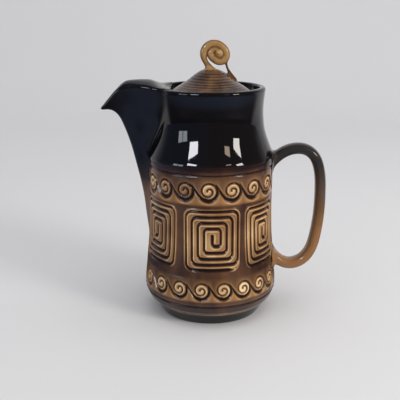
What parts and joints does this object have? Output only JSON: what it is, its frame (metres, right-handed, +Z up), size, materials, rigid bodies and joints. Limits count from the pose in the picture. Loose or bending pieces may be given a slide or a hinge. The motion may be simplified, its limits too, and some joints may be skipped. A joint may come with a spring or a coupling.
{
  "type": "coffee pot",
  "caption": "Tall glazed earthenware coffee pot with a hooded beak spout, an ear-shaped strap handle and a ridged lift-off lid with a coiled knob.",
  "frame": {"origin": "on the table, under the middle of the whole object's box; the pot's turning axis is 4.1 mm towards the spout from it", "axes": "+Z up, +X from the spout to the handle, +Y to the back when the spout is at the left"},
  "size_m": [0.1937, 0.1154, 0.235],
  "materials": {
    "pot_glaze": "glossy brown relief glaze, blue-black at the neck and foot",
    "spout_glaze": "glossy blue-black glaze",
    "handle_glaze": "glossy glaze, black at the top fading to tan",
    "lid_glaze": "glossy brown glaze, darker towards the edge",
    "finial_glaze": "glossy ochre glaze"
  },
  "bodies": {
    "pot": {"pot_body": "pot_glaze", "spout": "spout_glaze", "handle": "handle_glaze"},
    "lid": {"lid": "lid_glaze", "finial": "finial_glaze"}
  },
  "joints": [
    {"name": "lid_lift", "type": "slide", "parent": "pot", "child": "lid", "axis": [0, 0, 1], "range_m": [0, 0.06]}
  ]
}
